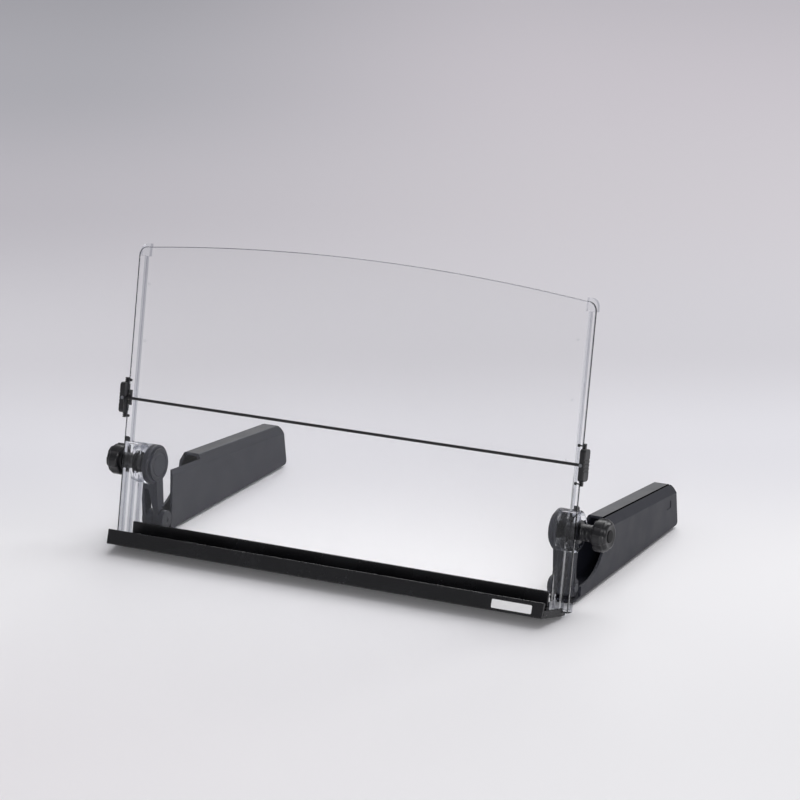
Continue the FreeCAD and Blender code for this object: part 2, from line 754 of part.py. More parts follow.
def dowel_places():
    """Where the dowels stand inside the leg, as (y, z)."""
    places = []
    for share in dowel_place_shares:
        y = share * leg_reach
        places.append((y, leg_bottom + dowel_height_share * (top_line(y) - leg_bottom)))
    return places


def leg_dowels():
    """Dowels that line up the shells of both legs."""
    return both_sides([round_bar(dowel_radius, boss_meeting - dowel_half, boss_meeting + dowel_half, y, z)
                       for y, z in dowel_places()])


def rubber_feet():
    """Two rubber pads under each leg."""
    middle = (leg_inner + leg_outer) / 2
    half = foot_width / 2
    pads = []
    for start in (sole_front + foot_toe_margin, leg_reach - foot_end_margin - foot_length):
        outline = rectangle(middle - half, middle + half, start, start + foot_length)
        pads.append(plan_prism(outline, desk, leg_bottom, [foot_radius] * 4))
    return both_sides(pads)


def pieces():
    """All pieces by name, about the hub axis at the rest tilt."""
    inner_shell, outer_shell = leg_shells()
    leant = {
        "clear_panel": clear_panel(),
        "document_tray": document_tray(),
        "sheet_clips": Part.Compound(sheet_clips()),
        "blank_label": blank_label(),
        "guide_studs": Part.Compound(guide_studs()),
        "guide_stops": Part.Compound(guide_stops()),
        "guide_rod": guide_rod(),
        "slider_pins": Part.Compound(slider_pins()),
        "rod_screws": Part.Compound(rod_screws()),
    }
    upright = {
        "leg_dowels": Part.Compound(leg_dowels()),
        "rubber_feet": Part.Compound(rubber_feet()),
        "toe_pins": Part.Compound(both_sides([toe_pin()])),
        "clamp_bolts": Part.Compound(both_sides([clamp_bolt()])),
        "hub_washers": Part.Compound(hub_washers()),
    }
    leant_pairs = {"side_rail": side_rail(), "slider": slider()}
    upright_pairs = {
        "leg_inner_shell": inner_shell,
        "leg_outer_shell": outer_shell,
        "arm": arm(),
        "hub_cap": hub_cap(),
        "knob": knob(),
        "knob_insert": knob_insert(),
        "knob_cap": knob_cap(),
    }
    for pairs, singles in ((leant_pairs, leant), (upright_pairs, upright)):
        for name, shape in pairs.items():
            singles["right_" + name] = shape
            singles["left_" + name] = mirrored(shape)
    made = {name: tilted(shape) for name, shape in leant.items()}
    made.update(upright)
    return made


def main():
    """Move the holder onto its origin and write one file for each piece."""
    os.makedirs("parts", exist_ok=True)
    made = pieces()
    boxes = [shape.optimalBoundingBox(False) for shape in made.values()]
    middle = (min(box.YMin for box in boxes) + max(box.YMax for box in boxes)) / 2
    for name, shape in sorted(made.items()):
        placed = shape.copy()
        placed.translate(Vector(0, -middle, -desk))
        placed.exportStep("parts/" + name + ".step")
        print(name, len(placed.Solids), "solids", placed.isValid(), round(placed.Volume, 1))
    print("hub axis at y", round(-middle, 4), "z", round(-desk, 4))
    print("toe axis at y", round(toe_behind_hub - middle, 4), "z", toe_axis_height)


main()
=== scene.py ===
"""Looks of a desk copy holder with a line guide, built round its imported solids.

A clear panel with a black tray hangs by two clear rails on a pair of arms, and the arms
stand in two charcoal legs. A thin rod between two sliders marks a line on the panel.
Each sub-assembly is a class that builds its visible pieces and dresses them. All places
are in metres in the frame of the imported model, and small sizes are given in millimetres.
"""

import json
import logging
import math
from collections.abc import Callable
from dataclasses import dataclass
from enum import Enum

import bmesh
import bpy
from mathutils import Matrix, Vector


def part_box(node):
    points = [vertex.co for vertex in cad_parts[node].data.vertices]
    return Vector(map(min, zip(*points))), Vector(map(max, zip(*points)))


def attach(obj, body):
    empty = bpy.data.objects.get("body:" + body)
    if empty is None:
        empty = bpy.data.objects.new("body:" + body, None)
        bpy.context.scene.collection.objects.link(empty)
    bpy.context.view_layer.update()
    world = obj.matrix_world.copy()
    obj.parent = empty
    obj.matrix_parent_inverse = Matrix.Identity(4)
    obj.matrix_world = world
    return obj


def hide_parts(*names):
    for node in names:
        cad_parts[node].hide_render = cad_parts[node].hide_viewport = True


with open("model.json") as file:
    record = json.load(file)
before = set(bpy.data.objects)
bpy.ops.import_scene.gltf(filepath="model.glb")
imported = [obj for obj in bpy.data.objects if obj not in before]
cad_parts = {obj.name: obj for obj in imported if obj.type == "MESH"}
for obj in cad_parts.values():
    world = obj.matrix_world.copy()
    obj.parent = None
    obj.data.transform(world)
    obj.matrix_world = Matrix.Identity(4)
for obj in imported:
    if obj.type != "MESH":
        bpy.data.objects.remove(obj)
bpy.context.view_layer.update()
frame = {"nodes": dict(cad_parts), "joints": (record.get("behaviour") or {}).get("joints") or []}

log = logging.getLogger("copy_holder")

MM_PER_METRE = 1000
# Points nearer than this are one point, and faces that turn by less than this are one face.
WELD_DISTANCE = 1e-6
FLAT_ANGLE = math.radians(0.4)
# Edges that turn by more are eased. The wider angles leave the steps of round pieces alone.
CREASE_ANGLE = math.radians(28)
GRIP_ANGLE = math.radians(40)
SQUARE_ANGLE = math.radians(60)
# Edges that turn by less are shaded as round.
SHADING_ANGLE = math.radians(34)
# An eased edge has two faces, or three where it shows, and a profile of one half is round.
EDGE_SEGMENTS = 2
SOFT_SEGMENTS = 3
ROUND_PROFILE = 0.5
# How far a face of clear acrylic looks through the piece to count as its broad side; the other
# faces take painted shade.
EDGE_SHARE = 0.6
POLISH_SHARE = 0.95
# Mix nodes repeat their sockets' names, so these are reached by number.
MIX_SHARE, MIX_FIRST, MIX_SECOND, MIX_RESULT = 0, 6, 7, 2


def mm(length: float) -> float:
    """Turn a length in millimetres to metres."""
    return length / MM_PER_METRE


def per_mm(size: float) -> float:
    """Turn the size of a pattern's features in millimetres to a texture scale."""
    return MM_PER_METRE / size


def linear(code: str) -> tuple[float, float, float, float]:
    """Turn an sRGB hex colour to the linear colour that a shader takes, by the standard's curve.

    Args:
        code: The colour as #rrggbb.

    Returns:
        Red, green, blue and an alpha of 1.
    """
    channels = []
    for start in (1, 3, 5):
        share = int(code[start:start + 2], 16) / 255
        channels.append(share / 12.92 if share <= 0.04045 else ((share + 0.055) / 1.055) ** 2.4)
    return (*channels, 1.0)


def add_node(
    tree: bpy.types.NodeTree,
    kind: str,
    values: dict[str | int, object] | None = None,
    links: dict[str | int, bpy.types.NodeSocket] | None = None,
    **settings: object,
) -> bpy.types.Node:
    """Add a shader node with its settings, its plain inputs and its links.

    Args:
        tree: The node tree that takes the node.
        kind: The node's type name.
        values: Plain values by input name or number.
        links: Sockets that feed the inputs, by input name or number.
        **settings: Attributes of the node itself.

    Returns:
        The new node.
    """
    node = tree.nodes.new(kind)
    for name, value in settings.items():
        setattr(node, name, value)
    for name, value in (values or {}).items():
        node.inputs[name].default_value = value
    for name, socket in (links or {}).items():
        tree.links.new(socket, node.inputs[name])
    return node


@dataclass(frozen=True)
class Finish:
    """A finish: its material's name and the record's slot that it belongs to."""

    name: str
    slot: str

    def surface(self, tree: bpy.types.NodeTree) -> bpy.types.NodeSocket:
        """Add the finish's nodes to a tree and return the shader's socket."""
        raise NotImplementedError

    def material(self) -> bpy.types.Material:
        """Make the finish's material at its first use.

        Returns:
            The one material of this finish.
        """
        made = bpy.data.materials.get(self.name)
        if made is None:
            made = bpy.data.materials.new(self.name)
            made.use_nodes = True
            made.node_tree.nodes.clear()
            output = add_node(made.node_tree, "ShaderNodeOutputMaterial")
            made.node_tree.links.new(self.surface(made.node_tree), output.inputs["Surface"])
        return made

    def dress(self, piece: bpy.types.Object) -> None:
        """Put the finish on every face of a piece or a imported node.

        Args:
            piece: The object, whose material slots are reassigned.
        """
        if not piece.material_slots:
            piece.data.materials.append(self.material())
        for slot in piece.material_slots:
            slot.material = self.material()


@dataclass(frozen=True)
class Moulded(Finish):
    """An injection-moulded plastic or rubber: a fine grain, with soft clouds of gloss and tone.

    The grain of a real skin is too fine to show, so it is drawn coarser.
    """

    colour: str
    rubbed_colour: str
    smoothest: float
    roughest: float
    grain_mm: float
    grain_height_mm: float
    cloud_mm: float = 22.0
    cloud_low: float = 0.35
    cloud_high: float = 0.65
    ior: float = 1.54

    def surface(self, tree: bpy.types.NodeTree) -> bpy.types.NodeSocket:
        """Add grain as a bump, and clouds that vary the tone and the roughness.

        Args:
            tree: The material's node tree.

        Returns:
            The shader's socket.
        """
        place = add_node(tree, "ShaderNodeTexCoord").outputs["Object"]
        cloud = add_node(tree, "ShaderNodeTexNoise",
                         {"Scale": per_mm(self.cloud_mm), "Detail": 4.0},
                         {"Vector": place}).outputs["Fac"]
        grain = add_node(tree, "ShaderNodeTexNoise",
                         {"Scale": per_mm(self.grain_mm), "Detail": 2.0},
                         {"Vector": place}).outputs["Fac"]
        share = add_node(tree, "ShaderNodeMapRange",
                         {"From Min": self.cloud_low, "From Max": self.cloud_high},
                         {"Value": cloud}).outputs["Result"]
        tone = add_node(tree, "ShaderNodeMix",
                        {MIX_FIRST: linear(self.colour), MIX_SECOND: linear(self.rubbed_colour)},
                        {MIX_SHARE: share}, data_type="RGBA").outputs[MIX_RESULT]
        roughness = add_node(tree, "ShaderNodeMapRange",
                             {"To Min": self.smoothest, "To Max": self.roughest},
                             {"Value": share}).outputs["Result"]
        relief = add_node(tree, "ShaderNodeBump",
                          {"Strength": 1.0, "Distance": mm(self.grain_height_mm)},
                          {"Height": grain}).outputs["Normal"]
        look = {"Base Color": tone, "Roughness": roughness, "Normal": relief}
        return add_node(tree, "ShaderNodeBsdfPrincipled", {"IOR": self.ior}, look).outputs["BSDF"]


@dataclass(frozen=True)
class ClearAcrylic(Finish):
    """Clear acrylic: it bends what is behind it, and faint wiping marks dull its gloss."""

    tint: str
    smoothest: float
    roughest: float
    smear_mm: float
    ior: float
    specular: float
    shade: str = "#dadadc"
    smear_squash: float = 0.3
    smear_low: float = 0.45
    smear_high: float = 0.7

    def surface(self, tree: bpy.types.NodeTree) -> bpy.types.NodeSocket:
        """Add glass with smears, whose faces each let a share of the lamps' light through.

        Args:
            tree: The material's node tree.

        Returns:
            The shader's socket.
        """
        place = add_node(tree, "ShaderNodeTexCoord").outputs["Object"]
        stretched = add_node(tree, "ShaderNodeMapping", {"Scale": (1.0, 1.0, self.smear_squash)},
                             {"Vector": place}).outputs["Vector"]
        smear = add_node(tree, "ShaderNodeTexNoise",
                         {"Scale": per_mm(self.smear_mm), "Detail": 5.0},
                         {"Vector": stretched}).outputs["Fac"]
        roughness = add_node(tree, "ShaderNodeMapRange",
                             {"From Min": self.smear_low, "From Max": self.smear_high,
                              "To Min": self.smoothest, "To Max": self.roughest},
                             {"Value": smear}).outputs["Result"]
        glass = add_node(tree, "ShaderNodeBsdfPrincipled",
                         {"Base Color": linear(self.tint), "Transmission Weight": 1.0,
                          "IOR": self.ior, "Specular IOR Level": self.specular},
                         {"Roughness": roughness}).outputs["BSDF"]
        passing = add_node(tree, "ShaderNodeBsdfTransparent",
                           {"Color": linear(self.shade)}).outputs["BSDF"]
        lamp_ray = add_node(tree, "ShaderNodeLightPath").outputs["Is Shadow Ray"]
        inputs = dict(enumerate((lamp_ray, glass, passing)))
        return add_node(tree, "ShaderNodeMixShader", None, inputs).outputs["Shader"]


@dataclass(frozen=True)
class TurnedMetal(Finish):
    """A turned or plated metal: fine rings round the X axis, from the tool that cut it.

    They are drawn further apart than the tool leaves them, to show.
    """

    colour: str
    dull_colour: str
    smoothest: float
    roughest: float
    ring_mm: float = 0.5
    ring_height_mm: float = 0.01
    ring_wander: float = 0.6
    ring_strength: float = 0.6
    rings_per_cloud: float = 6.0

    def surface(self, tree: bpy.types.NodeTree) -> bpy.types.NodeSocket:
        """Add tool rings as a bump and clouds of dullness.

        Args:
            tree: The material's node tree.

        Returns:
            The shader's socket.
        """
        place = add_node(tree, "ShaderNodeTexCoord").outputs["Object"]
        ring = add_node(tree, "ShaderNodeTexWave",
                        {"Scale": per_mm(self.ring_mm), "Distortion": self.ring_wander},
                        {"Vector": place}, wave_type="BANDS", bands_direction="X").outputs["Fac"]
        cloud = add_node(tree, "ShaderNodeTexNoise",
                         {"Scale": per_mm(self.rings_per_cloud * self.ring_mm), "Detail": 3.0},
                         {"Vector": place}).outputs["Fac"]
        tone = add_node(tree, "ShaderNodeMix",
                        {MIX_FIRST: linear(self.colour), MIX_SECOND: linear(self.dull_colour)},
                        {MIX_SHARE: cloud}, data_type="RGBA").outputs[MIX_RESULT]
        roughness = add_node(tree, "ShaderNodeMapRange",
                             {"To Min": self.smoothest, "To Max": self.roughest},
                             {"Value": cloud}).outputs["Result"]
        relief = add_node(tree, "ShaderNodeBump",
                          {"Strength": self.ring_strength, "Distance": mm(self.ring_height_mm)},
                          {"Height": ring}).outputs["Normal"]
        look = {"Base Color": tone, "Roughness": roughness, "Normal": relief}
        return add_node(tree, "ShaderNodeBsdfPrincipled", {"Metallic": 1.0}, look).outputs["BSDF"]


@dataclass(frozen=True)
class StudioPaper(Finish):
    """Matt studio paper with painted light: palest under the holder and greyer towards the back
    left.
    """

    left_tones: tuple[tuple[float, str], ...]
    right_tones: tuple[tuple[float, str], ...]
    turn_deg: float
    left_at: float
    right_at: float
    fibre_mm: float
    fibre_height_mm: float = 0.1
    fibre_strength: float = 0.2
    roughness: float = 0.9
    specular: float = 0.1

    def tone(self, tree: bpy.types.NodeTree, depth: bpy.types.NodeSocket,
             tones: tuple[tuple[float, str], ...]) -> bpy.types.NodeSocket:
        """Add a run of painted light tones over the paper's depth.

        Args:
            tree: The node tree that takes the nodes.
            depth: The distance behind the model's origin, in metres.
            tones: The depths and the colours there, nearest first.

        Returns:
            The colour's socket.
        """
        near, far = tones[0][0], tones[-1][0]
        share = add_node(tree, "ShaderNodeMapRange", {"From Min": near, "From Max": far},
                         {"Value": depth}).outputs["Result"]
        ramp = add_node(tree, "ShaderNodeValToRGB", None, {"Fac": share})
        ramp.color_ramp.interpolation = "EASE"
        while len(ramp.color_ramp.elements) < len(tones):
            ramp.color_ramp.elements.new(0.5)  # every stop is put in its place below
        for element, (place, code) in zip(ramp.color_ramp.elements, tones):
            element.position = (place - near) / (far - near)
            element.color = linear(code)
        return ramp.outputs["Color"]

    def surface(self, tree: bpy.types.NodeTree) -> bpy.types.NodeSocket:
        """Add the paper's painted light from front to back and from left to right, with a faint
        fibre.

        Args:
            tree: The material's node tree.

        Returns:
            The shader's socket.
        """
        place = add_node(tree, "ShaderNodeTexCoord").outputs["Object"]
        turned = add_node(tree, "ShaderNodeMapping",
                          {"Rotation": (0.0, 0.0, -math.radians(self.turn_deg))},
                          {"Vector": place}).outputs["Vector"]
        axes = add_node(tree, "ShaderNodeSeparateXYZ", None, {"Vector": turned}).outputs
        aside = add_node(tree, "ShaderNodeMapRange",
                         {"From Min": self.left_at, "From Max": self.right_at},
                         {"Value": axes["X"]}, interpolation_type="SMOOTHSTEP").outputs["Result"]
        colour = add_node(tree, "ShaderNodeMix", None,
                          {MIX_SHARE: aside, MIX_FIRST: self.tone(tree, axes["Y"], self.left_tones),
                           MIX_SECOND: self.tone(tree, axes["Y"], self.right_tones)},
                          data_type="RGBA").outputs[MIX_RESULT]
        fibre = add_node(tree, "ShaderNodeTexNoise",
                         {"Scale": per_mm(self.fibre_mm), "Detail": 3.0},
                         {"Vector": place}).outputs["Fac"]
        relief = add_node(tree, "ShaderNodeBump",
                          {"Strength": self.fibre_strength, "Distance": mm(self.fibre_height_mm)},
                          {"Height": fibre}).outputs["Normal"]
        return add_node(tree, "ShaderNodeBsdfPrincipled",
                        {"Roughness": self.roughness, "Specular IOR Level": self.specular},
                        {"Base Color": colour, "Normal": relief}).outputs["BSDF"]


# Spark-eroded ABS: a satin skin that greys a little where the light grazes it.
LEG_ABS = Moulded(
    "abs_spark_eroded_charcoal", "charcoal_plastic", "#1a1c27", "#1c1e29",
    smoothest=0.5, roughest=0.57, grain_mm=0.9, grain_height_mm=0.02)
# Painted shade in the shells' joint: their plastic, dull and near black, stands for the shade where
# hardly any light gets in.
SEAM_PAINTED_SHADE = Moulded(
    "abs_seam_painted_shade", "charcoal_plastic", "#040405", "#060607",
    smoothest=0.85, roughest=0.95, grain_mm=0.9, grain_height_mm=0.02, ior=1.15)
# The legs' plastic in black, a little shinier where hands turn and slide it.
GRIP_ABS = Moulded(
    "abs_moulded_black", "black_plastic", "#0f0f12", "#131317",
    smoothest=0.36, roughest=0.45, grain_mm=0.7, grain_height_mm=0.015)
# The knobs' end caps, left matt: they stay dark where the grips beside them shine.
CAP_ABS = Moulded(
    "abs_matt_black", "black_plastic", "#0b0b0d", "#0e0e10",
    smoothest=0.62, roughest=0.72, grain_mm=0.6, grain_height_mm=0.02, ior=1.36)
# Polished ABS: near black with a soft gloss and faint wiping clouds.
TRAY_ABS = Moulded(
    "abs_polished_black", "tray_black", "#111113", "#141417",
    smoothest=0.22, roughest=0.3, grain_mm=1.4, grain_height_mm=0.006, cloud_mm=35.0)
# Nylon: waxy and a touch lighter than the ABS round it.
WASHER_NYLON = Moulded(
    "nylon_moulded_black", "washer_nylon", "#1b1b1e", "#242428",
    smoothest=0.4, roughest=0.5, grain_mm=0.6, grain_height_mm=0.01, ior=1.53)
# Nitrile rubber: dull, with a leathery grain.
FOOT_RUBBER = Moulded(
    "nitrile_rubber_black", "foot_rubber", "#141415", "#1c1c1d",
    smoothest=0.75, roughest=0.9, grain_mm=0.8, grain_height_mm=0.03, ior=1.52)
# Powder-coated steel wire: black, with the orange peel of a baked coat.
ROD_COAT = Moulded(
    "powder_coat_black", "black_steel", "#111113", "#161618",
    smoothest=0.28, roughest=0.38, grain_mm=1.2, grain_height_mm=0.012, cloud_mm=15.0)
# Vinyl film: a flat, even white with the least sheen and no print.
LABEL_VINYL = Moulded(
    "vinyl_film_white", "white_label", "#f2f2f2", "#ececed",
    smoothest=0.3, roughest=0.4, grain_mm=2.5, grain_height_mm=0.004, ior=1.5)
# Cast acrylic: water clear, with no more than a faint mirror on its broad sides.
SHEET_ACRYLIC = ClearAcrylic(
    "acrylic_cast_clear", "clear_acrylic", "#ffffff",
    smoothest=0.0, roughest=0.03, smear_mm=45.0, ior=1.49, specular=0.12)
# The sheet's polished edges in painted shade: grey, for the light that has run along inside the
# sheet.
SHEET_EDGE_PAINTED_SHADE = ClearAcrylic(
    "acrylic_cast_edge_painted_shade", "clear_acrylic", "#7c7f86",
    smoothest=0.02, roughest=0.06, smear_mm=12.0, ior=1.49, specular=0.3)
# Moulded acrylic: as clear, and drawn with a weak bend, so that the thin ribs leave what lies
# behind them in its place.
RAIL_ACRYLIC = ClearAcrylic(
    "acrylic_moulded_clear", "clear_acrylic", "#f8f9fa",
    smoothest=0.0, roughest=0.04, smear_mm=25.0, ior=1.07, specular=0.6)
# The rails' narrow sides in painted shade: a little greyer than their faces.
RAIL_EDGE_PAINTED_SHADE = ClearAcrylic(
    "acrylic_moulded_edge_painted_shade", "clear_acrylic", "#bfc1c7",
    smoothest=0.02, roughest=0.07, smear_mm=12.0, ior=1.07, specular=0.6)
# Zinc-plated steel: pale grey, slightly cloudy.
ZINC_STEEL = TurnedMetal(
    "steel_zinc_plated", "zinc_steel", "#9c9fa4", "#85888d",
    smoothest=0.3, roughest=0.42)
# The same plating left dull, on the pins that the arms turn on.
PIN_STEEL = TurnedMetal(
    "steel_zinc_dull", "zinc_steel", "#5c5e62", "#4c4e52",
    smoothest=0.42, roughest=0.55)
# Turned brass: warm, with the lathe's rings.
BRASS = TurnedMetal(
    "brass_turned", "brass", "#c8a355", "#a98a48",
    smoothest=0.2, roughest=0.34, ring_height_mm=0.015)
# Matt paper sweep, which is the floor and the background in one. It has no slot of the part's.
# Its tones are painted light: palest under the holder, like a pool of light, and greyer towards the
# back left, as the light falls off.
PAPER_PAINTED_LIGHT = StudioPaper(
    "paper_sweep_painted_light", "none",
    left_tones=((-0.5, "#e6e3e6"), (-0.1, "#f1f0f2"), (0.27, "#e5e4e9"), (0.64, "#d9d7dc"),
                (1.36, "#c6c3c9"), (2.2, "#b8b7bd"), (3.4, "#adacb2")),
    right_tones=((-0.5, "#efeef0"), (-0.1, "#f6f5f7"), (0.27, "#e6e5ea"), (0.64, "#d5d3d8"),
                 (1.36, "#d3cfd4"), (2.2, "#d4cfd5"), (3.4, "#cdc9cf")),
    turn_deg=27.7, left_at=-0.55, right_at=0.3, fibre_mm=1.5)


class Side(Enum):
    """The two sides of the holder, as the user sees them."""

    LEFT = "left"
    RIGHT = "right"

    @property
    def outward(self) -> int:
        """The sign of X towards this side."""
        return 1 if self is Side.RIGHT else -1

    @property
    def turned_out(self) -> Matrix:
        """The transform that points a shape built towards +X to this side."""
        return Matrix.Diagonal((self.outward, 1.0, 1.0, 1.0))

    def node(self, piece: str) -> str:
        """The name of this side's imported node."""
        return f"{self.value}_{piece}"


def joint_named(name: str) -> dict:
    """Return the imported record's joint of that name."""
    return next(joint for joint in frame["joints"] if joint["name"] == name)


@dataclass(frozen=True)
class PanelPlane:
    """The panel's own frame: X across, Y through the sheet and Z up it, from the hub axis."""

    hub: Vector
    lean: float

    @classmethod
    def from_record(cls) -> "PanelPlane":
        """Read the hub axis and the panel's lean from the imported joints."""
        _, back, up = joint_named("guide_slide")["axis"]
        return cls(Vector(joint_named("panel_tilt")["pos_m"]), math.atan2(back, up))

    @property
    def through(self) -> Vector:
        """The direction through the sheet, in the model's frame."""
        return self.place.to_3x3() @ Vector((0.0, 1.0, 0.0))

    @property
    def place(self) -> Matrix:
        """The transform from the panel's frame to the model's."""
        return Matrix.Translation(self.hub) @ Matrix.Rotation(-self.lean, 4, "X")

    def points(self, node: str) -> list[Vector]:
        """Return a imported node's points in the panel's frame."""
        back = self.place.inverted()
        return [back @ vertex.co for vertex in frame["nodes"][node].data.vertices]

    def box(self, node: str) -> tuple[Vector, Vector]:
        """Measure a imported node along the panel.

        Args:
            node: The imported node.

        Returns:
            Its lowest and highest corners in the panel's frame.
        """
        columns = list(zip(*self.points(node)))
        return Vector(map(min, columns)), Vector(map(max, columns))


def ease_edges(
    shape: bmesh.types.BMesh,
    width: float,
    segments: int = EDGE_SEGMENTS,
    angle: float = CREASE_ANGLE,
) -> None:
    """Round the edges that turn by more than an angle, and drop what has no width after it.

    Args:
        shape: The shape, changed in place.
        width: The rounding's reach on each side of an edge.
        segments: How many faces the rounding has.
        angle: The turn from which an edge counts as sharp.
    """
    sharp = [edge for edge in shape.edges if edge.is_manifold and edge.calc_face_angle() > angle]
    bmesh.ops.bevel(shape, geom=sharp, offset=width, offset_type="OFFSET", segments=segments,
                    profile=ROUND_PROFILE, affect="EDGES", material=-1, clamp_overlap=True)
    bmesh.ops.dissolve_degenerate(shape, dist=WELD_DISTANCE, edges=shape.edges)


def finished(name: str, shape: bmesh.types.BMesh) -> bpy.types.Object:
    """Turn a shape to an object with even shading, at the origin.

    Args:
        name: The object's name.
        shape: The shape, which is freed.

    Returns:
        The new object, linked to the scene.
    """
    for face in shape.faces:
        face.smooth = True
    for edge in shape.edges:
        edge.smooth = not edge.is_manifold or edge.calc_face_angle() < SHADING_ANGLE
    mesh = bpy.data.meshes.new(name)
    shape.to_mesh(mesh)
    shape.free()
    piece = bpy.data.objects.new(name, mesh)
    bpy.context.scene.collection.objects.link(piece)
    evened = piece.modifiers.new("even_normals", "WEIGHTED_NORMAL")
    evened.keep_sharp = True
    return piece


def packed_shape(node: str) -> bmesh.types.BMesh:
    """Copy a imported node's shape and join its triangles back to whole faces.

    Args:
        node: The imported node.

    Returns:
        The shape, in its place.
    """
    shape = bmesh.new()
    shape.from_mesh(frame["nodes"][node].data)
    bmesh.ops.remove_doubles(shape, verts=shape.verts, dist=WELD_DISTANCE)
    bmesh.ops.dissolve_limit(shape, angle_limit=FLAT_ANGLE, verts=shape.verts, edges=shape.edges)
    return shape


def spun(profile: list[tuple[float, float]], steps: int) -> bmesh.types.BMesh:
    """Spin a profile about the X axis to a closed shape.

    Args:
        profile: Points as (along X, radius), from the axis back to the axis.
        steps: How many steps a full turn has.

    Returns:
        The shape, facing outwards.
    """
    shape = bmesh.new()
    verts = [shape.verts.new((along, 0.0, radius)) for along, radius in profile]
    edges = [shape.edges.new(pair) for pair in zip(verts, verts[1:])]
    bmesh.ops.spin(shape, geom=verts + edges, cent=(0.0, 0.0, 0.0), axis=(1.0, 0.0, 0.0),
                   dvec=(0.0, 0.0, 0.0), angle=2 * math.pi, steps=steps, use_merge=True)
    bmesh.ops.remove_doubles(shape, verts=shape.verts, dist=WELD_DISTANCE)
    bmesh.ops.recalc_face_normals(shape, faces=shape.faces)
    return shape


def put(shape: bmesh.types.BMesh, place: Matrix) -> None:
    """Move a shape, and keep it facing outwards where the move mirrors it.

    Args:
        shape: The shape, changed in place.
        place: The move.
    """
    bmesh.ops.transform(shape, matrix=place, verts=shape.verts)
    if place.determinant() < 0:
        bmesh.ops.reverse_faces(shape, faces=shape.faces)


def mount(piece: bpy.types.Object, body: str, finish: Finish, *nodes: str) -> bpy.types.Object:
    """Dress a finished piece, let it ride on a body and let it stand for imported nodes.

    Args:
        piece: The piece, in its place.
        body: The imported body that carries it.
        finish: The piece's finish.
        *nodes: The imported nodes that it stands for.

    Returns:
        The piece.
    """
    finish.dress(piece)
    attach(piece, body)
    if nodes:
        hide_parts(*nodes)
    log.info("%s rides on %s in %s", piece.name, body, finish.name)
    return piece


def mount_eased(
    node: str,
    body: str,
    finish: Finish,
    width_mm: float,
    segments: int = EDGE_SEGMENTS,
) -> bpy.types.Object:
    """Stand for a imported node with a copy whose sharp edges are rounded.

    Args:
        node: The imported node.
        body: The body that carries it.
        finish: The piece's finish.
        width_mm: The rounding's reach.
        segments: How many faces the rounding has.

    Returns:
        The new piece.
    """
    shape = packed_shape(node)
    ease_edges(shape, mm(width_mm), segments)
    return mount(finished(node + "_eased", shape), body, finish, node)


def dress_faces(
    piece: bpy.types.Object,
    finish: Finish,
    chosen: Callable[[bpy.types.MeshPolygon], bool],
) -> None:
    """Give another finish to some faces of a piece that has its main finish.

    Args:
        piece: The piece.
        finish: The other finish.
        chosen: Says of a face whether it takes the other finish.
    """
    piece.data.materials.append(finish.material())
    slot = len(piece.data.materials) - 1
    for face in piece.data.polygons:
        if chosen(face):
            face.material_index = slot


def dress_edges(
    piece: bpy.types.Object,
    through: Vector,
    finish: Finish,
    share: float = EDGE_SHARE,
) -> None:
    """Give another finish, here a clear piece's painted shade, to the faces that don't look along a
    direction.

    Args:
        piece: A piece that has its main finish.
        through: The direction through the piece.
        finish: The finish of the other faces.
        share: How far a face has to look along the direction to keep the main finish.
    """
    dress_faces(piece, finish, lambda face: abs(face.normal.dot(through)) < share)


def dress_packed(node: str, finish: Finish) -> None:
    """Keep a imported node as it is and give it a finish."""
    finish.dress(frame["nodes"][node])
    log.info("%s stays in %s", node, finish.name)


